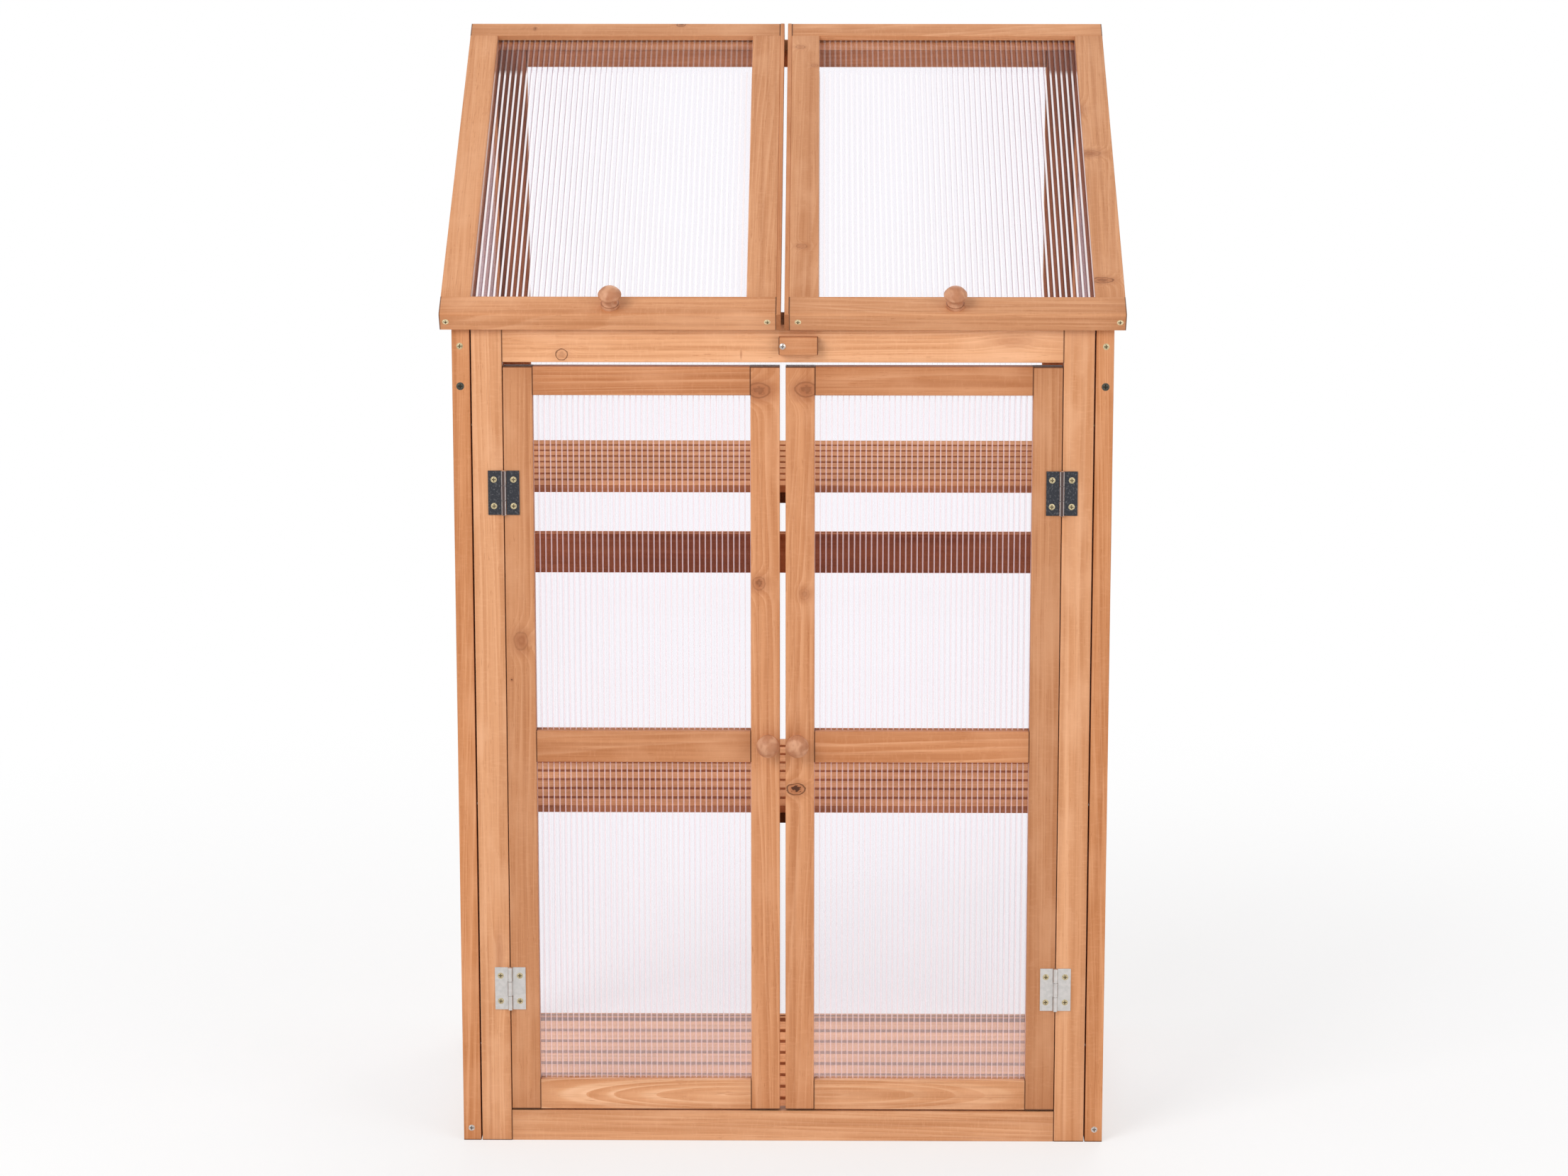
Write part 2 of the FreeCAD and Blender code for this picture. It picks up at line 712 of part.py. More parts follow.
def lid():
    """The right lid. It is built flat, front edge on Y = 0, and then laid on the roof."""
    thickness = (0, lid_thickness)
    width = (lid_frame_inner, lid_outer)
    opening_x = (lid_frame_inner + lid_stile_width, lid_outer - lid_stile_width)
    opening_y = (lid_front_rail_width, lid_length - lid_back_rail_width)
    front_rail = block(width, (0, opening_y[0]), thickness)
    front_arris = []
    for edge in edges_along(front_rail, RIGHT):
        middle = edge.CenterOfMass
        if middle.y < opening_y[0] / 2 and middle.z > lid_thickness / 2:
            front_arris.append(edge)
    front_rail = front_rail.makeFillet(lid_front_arris_radius, front_arris)
    back_rail = soften(block(width, (opening_y[1], lid_length), thickness), RIGHT)
    stiles = []
    for x in ((width[0], opening_x[0]), (opening_x[1], width[1])):
        stiles.append(soften(block(x, opening_y, thickness), BACK))
    lath = soften(block((lid_inner, lid_frame_inner), (0, lid_length), thickness), BACK)

    pane_middle = lid_thickness - lid_pane_recess - pane_thickness / 2
    sheet = twin_wall(
        opening_x[1] - opening_x[0] + 2 * pane_in_groove,
        opening_y[1] - opening_y[0] + 2 * pane_in_groove,
    )
    place = Vector((opening_x[0] + opening_x[1]) / 2, opening_y[0] - pane_in_groove, pane_middle)
    pane = placed(sheet, place, RIGHT, DOWN)
    half_groove = pane_thickness / 2 + groove_clearance
    groove = block(
        (opening_x[0] - groove_depth, opening_x[1] + groove_depth),
        (opening_y[0] - groove_depth, opening_y[1] + groove_depth),
        (pane_middle - half_groove, pane_middle + half_groove),
    )

    middle = (lid_inner + lid_outer) / 2
    knob_place = Vector(middle, lid_front_rail_width / 2, lid_thickness)
    screw_place = Vector(middle, lid_front_rail_width / 2, screw_head_rise)
    screws, holes = screws_at(knob_screw, [screw_place], DOWN)
    front_places = []
    for x in (lid_frame_inner + lid_screw_inner, lid_outer - lid_screw_outer):
        front_places.append(Vector(x, 0, lid_thickness / 2))
    front_screws, front_holes = screws_at(lid_screw, front_places, FRONT)
    screws += front_screws
    holes += front_holes
    tools = [groove] + holes
    flat = {
        "stiles": carve(stiles, tools),
        "front_rail": carve([front_rail], tools),
        "back_rail": carve([back_rail], tools),
        "edge_lath": [lath],
        "pane": [pane],
        "knob": carve([facing(knob(), knob_place, UP)], holes),
        "screws": screws,
    }
    seat = roof_height(-lid_front_overhang) + lid_seat_gap / roof_cos
    corner = Vector(0, -lid_front_overhang, seat)
    nodes = {}
    for name, shapes in flat.items():
        nodes[name] = [placed(shape, corner, RIGHT, up_slope) for shape in shapes]

    nodes["hinge_leaves"] = []
    hinge_holes = []
    for place in lid_hinge_places():
        leaf, leaf_screws, leaf_holes = hinge_half(1, place, off_slope, up_slope * -1)
        nodes["hinge_leaves"] += leaf
        nodes["screws"] += leaf_screws
        hinge_holes += leaf_holes
    nodes["back_rail"] = carve(nodes["back_rail"], hinge_holes)
    return nodes


def fixed_hinge_halves():
    """The right side's hinge leaves on the cabinet, with screws, holes and pins."""
    leaves = []
    screws = []
    holes = []
    pins = []
    halves = []
    for hinge_height in door_hinge_heights:
        place = Vector(door_hinge_x, -hinge_axis_offset, hinge_height)
        halves.append((place, RIGHT, BACK))
    for place in lid_hinge_places():
        halves.append((place, DOWN, FRONT))
    for place, x_way, y_way in halves:
        leaf, leaf_screws, leaf_holes = hinge_half(0, place, x_way, y_way)
        leaves += leaf
        screws += leaf_screws
        holes += leaf_holes
        pins.append(placed(hinge_pin(), place, x_way, y_way))
    return leaves, screws, holes, pins


def turn_button():
    """The button that holds the doors shut, lying level as when the doors are free to open."""
    front = -button_clearance - button_thickness
    button = block(
        (-button_pivot_end, button_length - button_pivot_end),
        (front, -button_clearance),
        (button_pivot_height - button_width / 2, button_pivot_height + button_width / 2),
    )
    button = button.makeFillet(button_arris_radius, button.Edges)
    place = Vector(0, front - button_screw_clearance, button_pivot_height)
    length, shank_radius, head_radius = pivot_screw
    hole = Part.makeCylinder(
        shank_radius + button_screw_clearance, 2 * button_thickness, place, BACK
    )
    screw = facing(pan_head(length, shank_radius, head_radius), place, FRONT)
    return carve([button], [hole]), screw


def greenhouse():
    """Every named piece of the greenhouse, each a list of solids."""
    nodes = front_frame()
    nodes.update(back_wall())
    wall, wall_screws = side_wall()
    cleats, cleat_fixings = shelf_cleats()
    fixings, fixing_holes = wall_fixings()
    leaves, leaf_screws, leaf_holes, pins = fixed_hinge_halves()
    button, button_screw = turn_button()

    right_screws = wall_screws + cleat_fixings[0] + fixings + leaf_screws
    holes = cleat_fixings[1] + fixing_holes + leaf_holes
    both_holes = holes + mirrored(holes)
    for name in ("front_post", "back_post", "panes"):
        wall[name] = carve(wall[name], holes)
    for name in ("front_frame_stiles", "back_wall_stiles", "back_wall_top_rail"):
        nodes[name] = carve(nodes[name], both_holes)
    nodes["front_frame_top_rail"] = carve(nodes["front_frame_top_rail"], [button_screw])
    cleats = carve(cleats, cleat_fixings[1])

    nodes["shelf_bearers"] = []
    nodes["shelf_nails"] = []
    for name, top in (
        ("upper_shelf_slats", upper_shelf_top),
        ("middle_shelf_slats", middle_shelf_top),
        ("floor_slats", floor_grid_top),
    ):
        nodes[name], bearers, nails = shelf(top)
        nodes["shelf_bearers"] += bearers
        nodes["shelf_nails"] += nails

    nodes["shelf_cleats"] = cleats + mirrored(cleats)
    nodes["cabinet_hinge_leaves"] = leaves + mirrored(leaves)
    nodes["hinge_pins"] = pins + mirrored(pins)
    nodes["cabinet_screws"] = right_screws + mirrored(right_screws) + [button_screw]
    nodes["turn_button"] = button
    for kind, pieces in (("side", wall), ("door", door()), ("lid", lid())):
        for name, shapes in pieces.items():
            nodes[f"right_{kind}_{name}"] = shapes
            nodes[f"left_{kind}_{name}"] = mirrored(shapes)
    return nodes


def depth_middle(nodes):
    """Half way between the foremost and the rearmost point, which are on knobs and hinges."""
    boxes = []
    for name in ("right_door_knob", "right_lid_knob", "cabinet_hinge_leaves"):
        for shape in nodes[name]:
            boxes.append(shape.optimalBoundingBox(False, False))
    return (min(box.YMin for box in boxes) + max(box.YMax for box in boxes)) / 2


os.makedirs("parts", exist_ok=True)
pieces = greenhouse()
to_middle = Vector(0, -depth_middle(pieces), 0)
for name, shapes in pieces.items():
    body = Part.makeCompound(shapes) if len(shapes) > 1 else shapes[0]
    body.translate(to_middle)
    body.exportStep(f"parts/{name}.step")
print(len(pieces), "pieces, moved", round(to_middle.y, 3))
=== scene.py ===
import math

import bmesh
import bpy
from mathutils import Euler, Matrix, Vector


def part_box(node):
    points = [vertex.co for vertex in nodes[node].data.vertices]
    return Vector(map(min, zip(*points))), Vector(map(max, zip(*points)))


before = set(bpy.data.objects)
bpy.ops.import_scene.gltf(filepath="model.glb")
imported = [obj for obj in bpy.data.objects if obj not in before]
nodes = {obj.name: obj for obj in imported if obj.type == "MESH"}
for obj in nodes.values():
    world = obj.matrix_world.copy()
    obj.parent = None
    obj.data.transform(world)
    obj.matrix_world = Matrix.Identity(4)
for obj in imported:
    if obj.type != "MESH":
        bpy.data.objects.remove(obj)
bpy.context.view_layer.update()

# Front frame
# Two stiles and two rails of planed softwood round the doors. The boards are dipped in a thin
# honey-coloured oil, so the growth rings, the fine fibres and the knots all show through it.

front_board_width = 0.034
straight_up = (0, 0, 0)
across_front = (0, -90, 0)

oiled_light = (0.81, 0.445, 0.255)
oiled_middle = (0.72, 0.36, 0.182)
oiled_late = (0.565, 0.24, 0.10)
pale_figure = (0.93, 0.60, 0.38)
oiled_dark = (0.45, 0.175, 0.065)
deep_oil = (0.80, 0.68, 0.59)
# Painted shade for the faces that look into the greenhouse
painted_inner_shade = (0.52, 0.38, 0.34)
end_grain = (0.33, 0.13, 0.055)
joint_line = (0.10, 0.035, 0.015)
knot_brown = (0.40, 0.15, 0.065)
knot_rim = (0.09, 0.03, 0.012)

# Rings: how far beside a board the pith lies and leans, how far the rings stray from true
# circles, and which parts of a year's growth are dark and pale
nearest_pith = 0.03
pith_spread = 0.05
pith_lean = 0.045
ring_spacing = 0.0055
ring_waver = 0.016
arched_waver = 0.004
fine_waver = 0.0016
uneven_year_noise = (75.0, 2.0)
uneven_year_share = 3.5
late_wood = ((0.2, 0.85), (1.0, 0.9))
early_wood = (0.35, 0.05)
plain_patches = (0.3, 0.75)
figure_left = 0.3

# Noise is given as features per metre along and across the grain, and its detail
waver_grain = (1.6, 11.0)
fine_waver_grain = (9.0, 60.0)
patch_grain = (2.5, 22.0)
own_noise_reach = 20.0

# Stains: the noise, where it starts and ends, how strong it dyes the wood, and its colour
stains = {
    "streak": ((2.2, 170.0, 4.0), (0.45, 0.7), 0.5, oiled_dark),
    "band": ((1.2, 38.0, 3.0), (0.42, 0.7), 0.34, oiled_dark),
    "fibre": ((12.0, 620.0, 4.0), (0.48, 0.78), 0.5, oiled_dark),
    "dash": ((70.0, 900.0, 2.0), (0.62, 0.76), 0.6, oiled_dark),
    "cloud": ((12.0, 28.0, 3.0), (0.45, 0.75), 0.5, oiled_light),
    "fleck": ((420.0, 110.0, 2.0), (0.5, 0.75), 0.18, oiled_light),
}

# Knots: reaches count in half widths of the knot
knot_raggedness = 0.45
knot_edge_noise = (1.1, 3.0)
knot_heart_noise = (2.6, 3.0)
heart_raggedness = 1.5
ring_push = 1.1
push_fall = -0.3
knot_halo = (2.2, 0.9)
halo_share = (0.25, 0.12)
knot_core = (1.08, 0.85)
core_ring_count = 2.6
core_ring_share = (0.55, 0.3)
knot_rim_start = (0.84, 0.96)
knot_rim_end = (1.1, 1.0)
open_heart_edge = (0.56, 0.44)

# Ends: the oil soaks further in there, and a fine dark line shows where two boards meet.
# Reaches count from the end of the board
end_face = (0.75, 0.95)
end_share = 0.5
soaked_reach = (0.035, -0.01)
soaked_share = 0.35
joint_line_reach = (0.0015, 0.0006)
joint_line_share = 0.85

# The whole board, and the finish: its roughness and how strongly it shines
lightest_board = 1.05
darkest_board = 0.95
only_board = 100.0
late_wood_relief = 0.3
fibre_relief = 0.6
fibre_depth = 0.00025
fibre_bump = 0.5
fibre_roughness = 0.2
oiled_finish = (0.48, 0.25)
dry_finish = (0.75, 0.06)
looks_inward = (0.5, 0.8)


def shade(tree, kind, *feeds, out=0, **settings):
    """Adds a shader node. Feeds fill its sockets in order: an output is linked, None is passed by."""
    made = tree.nodes.new(kind)
    for name, setting in settings.items():
        setattr(made, name, setting)
    for socket, feed in zip(made.inputs, feeds):
        if isinstance(feed, bpy.types.NodeSocket):
            tree.links.new(feed, socket)
        elif feed is not None:
            socket.default_value = feed
    return made.outputs[out]


def sums(tree, operation, *feeds):
    """One step of arithmetic on numbers."""
    return shade(tree, "ShaderNodeMath", *feeds, operation=operation)


def times(tree, first, second):
    """Two numbers multiplied."""
    return sums(tree, "MULTIPLY", first, second)


def scaled(tree, number, factor, added):
    """A number times a factor, and something added."""
    return sums(tree, "MULTIPLY_ADD", number, factor, added)


def vectors(tree, operation, *feeds):
    """One step of arithmetic on vectors."""
    out = 1 if operation in ("LENGTH", "DOT_PRODUCT") else 0
    return shade(tree, "ShaderNodeVectorMath", *feeds, operation=operation, out=out)


def parts_of(tree, vector):
    """The X, Y and Z of a vector."""
    return tuple(shade(tree, "ShaderNodeSeparateXYZ", vector).node.outputs)


def noise(tree, place, scale, detail, out=0):
    """Noise at a place, in features per metre."""
    return shade(tree, "ShaderNodeTexNoise", place, None, scale, detail, out=out)


def grain_noise(tree, place, along, across, detail=2.0):
    """Noise drawn out along the grain: features per metre along and across it."""
    return noise(tree, vectors(tree, "MULTIPLY", place, (across, across, along)), 1.0, detail)


def between(tree, number, low, high):
    """A number brought from 0 at the low value to 1 at the high one, with soft ends."""
    made = tree.nodes.new("ShaderNodeMapRange")
    made.interpolation_type = "SMOOTHSTEP"
    tree.links.new(number, made.inputs["Value"])
    made.inputs["From Min"].default_value = low
    made.inputs["From Max"].default_value = high
    return made.outputs["Result"]


def mixed(tree, amount, first, second, way="MIX"):
    """Two colours mixed by an amount from 0 to 1."""
    made = tree.nodes.new("ShaderNodeMix")
    made.data_type = "RGBA"
    made.blend_type = way
    sockets = (made.inputs[0], made.inputs[6], made.inputs[7])
    for socket, feed in zip(sockets, (amount, first, second)):
        if isinstance(feed, bpy.types.NodeSocket):
            tree.links.new(feed, socket)
        else:
            socket.default_value = (*feed, 1) if isinstance(feed, tuple) else feed
    return made.outputs[2]


def new_material(name):
    """A new material with its node tree, its plain surface and the place on the object."""
    made = bpy.data.materials.new(name)
    made.use_nodes = True
    tree = made.node_tree
    return made, tree, tree.nodes["Principled BSDF"], shade(tree, "ShaderNodeTexCoord", out=3)


def board_by_board(tree, object_place, low, high, boards, board):
    """Which of a node's like boards a point is on, and its place from that board's middle."""
    first = []
    steps = []
    for a, b, count, width in zip(low, high, boards, board):
        first.append((a + b) / 2 if count == 1 else a + width / 2)
        steps.append(only_board if count == 1 else (b - a - width) / (count - 1))
    from_first = vectors(tree, "SUBTRACT", object_place, tuple(first))
    steps_along = vectors(tree, "DIVIDE", from_first, tuple(steps))
    which = vectors(tree, "FLOOR", vectors(tree, "ADD", steps_along, (0.5, 0.5, 0.5)))
    return which, vectors(tree, "SUBTRACT", from_first, vectors(tree, "MULTIPLY", which, tuple(steps)))


def from_pith(tree, local, own, chances, pith):
    """Distance from a pith that lies beside the board and not quite in line with it."""
    across, through, along = parts_of(tree, local)
    if pith:
        direction, distance, growth = pith
        angle = math.radians(direction)
        reach = scaled(tree, along, growth, distance)
    else:
        angle = times(tree, chances[0], math.tau)
        lean = scaled(tree, chances[2], 2 * pith_lean, -pith_lean)
        reach = scaled(tree, lean, along, scaled(tree, chances[1], pith_spread, nearest_pith))
    u = scaled(tree, sums(tree, "COSINE", angle), reach, across)
    v = scaled(tree, sums(tree, "SINE", angle), reach, through)
    radius = sums(tree, "SQRT", sums(tree, "ADD", times(tree, u, u), times(tree, v, v)))
    waver = arched_waver if pith else ring_waver
    radius = scaled(tree, grain_noise(tree, own, *waver_grain), waver, radius)
    return scaled(tree, grain_noise(tree, own, *fine_waver_grain), fine_waver, radius)


def round_knots(tree, object_place, turn, knots, radius):
    """Rings that are pushed aside by knots, and each knot's ragged distances."""
    distances = []
    for place, half_across, half_along, *_ in knots:
        from_knot = vectors(tree, "SUBTRACT", object_place, place)
        turned = shade(tree, "ShaderNodeMapping", from_knot, None, turn)
        flat = vectors(tree, "MULTIPLY", turned, (1 / half_across, 0, 1 / half_along))
        rough = noise(tree, vectors(tree, "ADD", flat, place), *knot_edge_noise, out=1)
        rough = vectors(tree, "SUBTRACT", rough, (0.5, 0.5, 0.5))
        rough = vectors(tree, "SCALE", rough, None, None, knot_raggedness)
        distance = vectors(tree, "LENGTH", vectors(tree, "ADD", flat, rough))
        fall = sums(tree, "EXPONENT", times(tree, times(tree, distance, distance), push_fall))
        radius = scaled(tree, fall, half_across * ring_push, radius)
        heart = noise(tree, flat, *knot_heart_noise)
        heart = scaled(tree, heart, heart_raggedness, -heart_raggedness / 2)
        distances.append((distance, sums(tree, "ADD", distance, heart)))
    return radius, distances


def knotted(tree, colour, knots, distances):
    """The wood's colour with its knots: a brown halo and core, a dark rim and an open heart."""
    for (distance, from_heart), (*_, heart, rim, middle) in zip(distances, knots):
        halo = times(tree, between(tree, distance, *knot_halo), halo_share[0] * heart + halo_share[1])
        colour = mixed(tree, halo, colour, knot_brown)
        core_rings = sums(tree, "PINGPONG", times(tree, distance, core_ring_count), 1.0)
        core = mixed(tree, scaled(tree, core_rings, *core_ring_share), colour, knot_brown)
        in_core = times(tree, between(tree, distance, *knot_core), heart)
        colour = mixed(tree, in_core, colour, core)
        open_heart = times(tree, between(tree, from_heart, *open_heart_edge), middle)
        colour = mixed(tree, open_heart, colour, knot_rim)
        edge = between(tree, distance, *knot_rim_start)
        edge = times(tree, edge, between(tree, distance, *knot_rim_end))
        colour = mixed(tree, times(tree, edge, rim), colour, knot_rim)
    return colour


def oiled_timber(name, lie, boards=(1, 1, 1), board=(0, 0, 0), oil=0.3, figure=0.5, knots=(),
                 pith=None, inside=None, tone=(1, 1, 1), shades=(1, 1)):
    """Oiled softwood for a node of like boards. The lie turns the grain upright, in degrees.

    Boards says how many boards the node has along X, Y and Z, and board is the size of one. A knot
    is its place, its half width across and along the grain, and how brown its heart, how dark its
    rim and how dark its middle are. Pith is where the rings' middle lies: its direction from the
    board in degrees, its distance and how fast that grows along the board. Inside is the way that
    leads into the greenhouse: the faces that look that way are painted darker, a painted shade for
    the little light in there, and the node is drier. Painted light tints the node lighter where more
    light falls on it and darker where it stands in shade.
    Shades is how light the first and the last board along X are."""
    low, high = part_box(name)
    made, tree, surface, object_place = new_material(name)
    which, on_board = board_by_board(tree, object_place, low, high, boards, board)
    turn = tuple(math.radians(a) for a in lie)
    local = shade(tree, "ShaderNodeMapping", on_board, None, turn)
    seed = sum(ord(letter) * (n + 1) for n, letter in enumerate(name)) % 997 / 10
    seeded = vectors(tree, "ADD", which, (seed, seed, seed))
    chance = shade(tree, "ShaderNodeTexWhiteNoise", seeded, out=1)
    chances = parts_of(tree, chance)
    own = vectors(tree, "ADD", local, vectors(tree, "SCALE", chance, None, None, own_noise_reach))

    # Growth rings, each year's from pale early wood to dark late wood
    radius = from_pith(tree, local, own, chances, pith)
    radius, distances = round_knots(tree, object_place, turn, knots, radius)
    uneven = shade(tree, "ShaderNodeTexNoise", None, None, *uneven_year_noise, noise_dimensions="1D")
    tree.links.new(radius, uneven.node.inputs["W"])
    rings = scaled(tree, uneven, uneven_year_share, sums(tree, "DIVIDE", radius, ring_spacing))
    year = sums(tree, "FRACT", rings)
    late = times(tree, between(tree, year, *late_wood[0]), between(tree, year, *late_wood[1]))
    early = between(tree, year, *early_wood)
    patchy = between(tree, grain_noise(tree, own, *patch_grain), *plain_patches)
    ring_strength = times(tree, scaled(tree, patchy, 1 - figure_left, figure_left), figure)
    pale = pale_figure if pith else oiled_light
    colour = mixed(tree, times(tree, early, ring_strength), oiled_middle, pale)
    colour = mixed(tree, times(tree, late, ring_strength), colour, oiled_late)

    noises = {}
    for kind, (grain, reach, share, dye) in stains.items():
        noises[kind] = grain_noise(tree, own, *grain)
        amount = times(tree, between(tree, noises[kind], *reach), share)
        colour = mixed(tree, amount, colour, dye)
    colour = knotted(tree, colour, knots, distances)

    # End grain drinks more oil
    face = shade(tree, "ShaderNodeTexCoord", out=1)
    normal = shade(tree, "ShaderNodeMapping", face, None, turn)
    end = between(tree, sums(tree, "ABSOLUTE", parts_of(tree, normal)[2]), *end_face)
    colour = mixed(tree, times(tree, end, end_share), colour, end_grain)
    grain_way = Euler(turn).to_matrix()[2]
    half_length = sum(abs(way) * (b - a) for way, a, b in zip(grain_way, low, high)) / 2
    from_middle = sums(tree, "ABSOLUTE", parts_of(tree, local)[2])
    for reach, share, dye in (
        (soaked_reach, soaked_share, oiled_dark),
        (joint_line_reach, joint_line_share, joint_line),
    ):
        near_end = between(tree, from_middle, *(half_length - part for part in reach))
        colour = mixed(tree, times(tree, near_end, share), colour, dye)

    # Each board is a little lighter or darker than the next
    level = scaled(tree, chances[1], lightest_board - darkest_board, darkest_board)
    own_shade = scaled(tree, parts_of(tree, which)[0], shades[1] - shades[0], shades[0])
    level = times(tree, level, own_shade)
    # Painted light: a tint that lightens a node where more light falls and darkens it where it stands
    # in shade
    oil_tint = tuple((1 + oil * (part - 1)) * own_part for part, own_part in zip(deep_oil, tone))
    tint = vectors(tree, "SCALE", oil_tint, None, None, level)
    colour = mixed(tree, 1.0, colour, tint, "MULTIPLY")
    # Painted shade: faces that look into the greenhouse are darkened for the little light that reaches
    # them
    if inside:
        inward = between(tree, vectors(tree, "DOT_PRODUCT", face, inside), *looks_inward)
        colour = mixed(tree, inward, colour, mixed(tree, 1.0, colour, painted_inner_shade, "MULTIPLY"))
    tree.links.new(colour, surface.inputs["Base Color"])

    relief = scaled(tree, late, late_wood_relief, times(tree, noises["fibre"], fibre_relief))
    bump = shade(tree, "ShaderNodeBump", fibre_bump, fibre_depth)
    tree.links.new(relief, bump.node.inputs["Height"])
    tree.links.new(bump, surface.inputs["Normal"])
    dull, sheen = dry_finish if inside else oiled_finish
    tree.links.new(scaled(tree, noises["fibre"], fibre_roughness, dull), surface.inputs["Roughness"])
    surface.inputs["Specular IOR Level"].default_value = sheen
    return made


def finish_as(node, finish, *settings, **named_settings):
    """Gives a piece of the frame one finish all over."""
    mesh = nodes[node].data
    mesh.materials.clear()
    mesh.materials.append(finish(node, *settings, **named_settings))


stile_pair = ((2, 1, 1), (front_board_width, 0, 0))
stile_knots = [((-0.3239, -0.218, 0.217), 0.004, 0.03, 0.45, 0.0, 0.0)]
top_rail_knots = [
    ((-0.2459, -0.218, 0.9125), 0.0064, 0.0066, 0.25, 0.8, 0.15),
    ((-0.0462, -0.218, 0.913), 0.004, 0.0009, 0.8, 0.0, 0.0),
    ((0.2564, -0.218, 0.928), 0.006, 0.02, 0.35, 0.0, 0.0),
]
stile_finish = {"oil": 0.15, "figure": 0.6, "knots": stile_knots}
finish_as("front_frame_stiles", oiled_timber, straight_up, *stile_pair, **stile_finish)
finish_as("front_frame_top_rail", oiled_timber, across_front, oil=-0.1, knots=top_rail_knots)
finish_as("front_frame_bottom_rail", oiled_timber, across_front, oil=-0.05)

# Side walls
# Each is two posts, a top rail along the roof's slope and two cross rails. The posts stand
# square to the front boards, so their wide faces look sideways.

roof_rise = 0.294
roof_depth = 0.458
roof_pitch = math.degrees(math.atan2(roof_rise, roof_depth))
upright_side = (0, 0, 90)
along_side = (90, 0, 90)
up_roof_side = (90 - roof_pitch, 0, 90)
cross_rails = ((1, 1, 2), (0, 0, 0.035))
side_inward = {"left": (1, 0, 0), "right": (-1, 0, 0)}

for side, inward in side_inward.items():
    for post in ("front_post", "back_post"):
        finish_as(f"{side}_side_{post}", oiled_timber, upright_side, oil=0.75, inside=inward)
    finish_as(f"{side}_side_top_rail", oiled_timber, up_roof_side, inside=inward)
    finish_as(f"{side}_side_cross_rails", oiled_timber, along_side, *cross_rails, inside=inward)

# Back wall
# Two stiles and three rails hold the back panes. It is set between the side walls. Its top rail
# is painted lighter for the light through the lids that falls on it, and its mid rail is painted
# darker for the shade it stands in.

towards_front = (0, -1, 0)
# Painted light: the top rail is painted lighter for the light through the lids, and the mid rail
# painted darker for its shade
back_rail_painted_light = {"top": (1.3, 1.5, 1.5), "mid": (0.97, 0.88, 0.86), "bottom": (1, 1, 1)}

finish_as("back_wall_stiles", oiled_timber, straight_up, *stile_pair, inside=towards_front)
for rail, tone in back_rail_painted_light.items():
    rail_finish = {"oil": 0.6, "inside": towards_front, "tone": tone}
    finish_as(f"back_wall_{rail}_rail", oiled_timber, across_front, **rail_finish)

# Panes
# Clear twin-wall sheet: two thin skins joined by ribs, in the grooves of the boards round it.
# The skins are clear with a faint pink cast. The light that the ribs catch is painted on the outer
# skins as pale lines, a painted highlight, with painted dark edges beside them and a painted
# reflection of the floor low down.

rib_pitch = 0.0064
ribs_before_first = 100
sheet_half_thickness = 0.002
skin_share = 0.9
facing_front = (0, 0, 0)
facing_side = (0, 0, 90)
turned_to = 0.5

sheet_ior = 1.25
sheet_tint = (0.993, 0.99, 0.996)
sheet_white = (0.93, 0.88, 0.93)
sheet_gloss = (0.95, 0.94, 0.96)
rib_white = (0.86, 0.65, 0.68)
rib_shadow = (0.46, 0.30, 0.34)
# The floor glare is a painted reflection of the floor, laid on the lower panes by height
floor_glare = (0.98, 0.89, 0.90)
gloss_roughness = 0.05
glare_roughness = 0.25
glare_share = 0.3
glare_heights = (0.19, 0.13)
veil_share = 0.005
rib_share = 0.1

# The pale line of a rib, a painted highlight: how strong it is, and how far it reaches from the
# rib's middle
line_share = 0.5
line_reach = (0.00095, 0.00045)
inner_line_share = 0.1
lid_lines_begin = (0.19, 0.175)
lid_top_line_share = 0.15

# The dark edge beside a rib is painted, a painted image of the rib's dark side faces seen from off
# the middle: a thin one that fades towards the object's middle, and a thick one on the outermost
# ribs, where the side wall shows in them
edge_offset = 0.0013
thin_edge = (0.0008, 0.0003)
thin_edge_from = (0.11, 0.3)
thin_edge_share = 0.2
thick_edge = (0.0018, 0.0008)
thick_edge_from = (0.27, 0.35)
thick_edge_share = 0.45


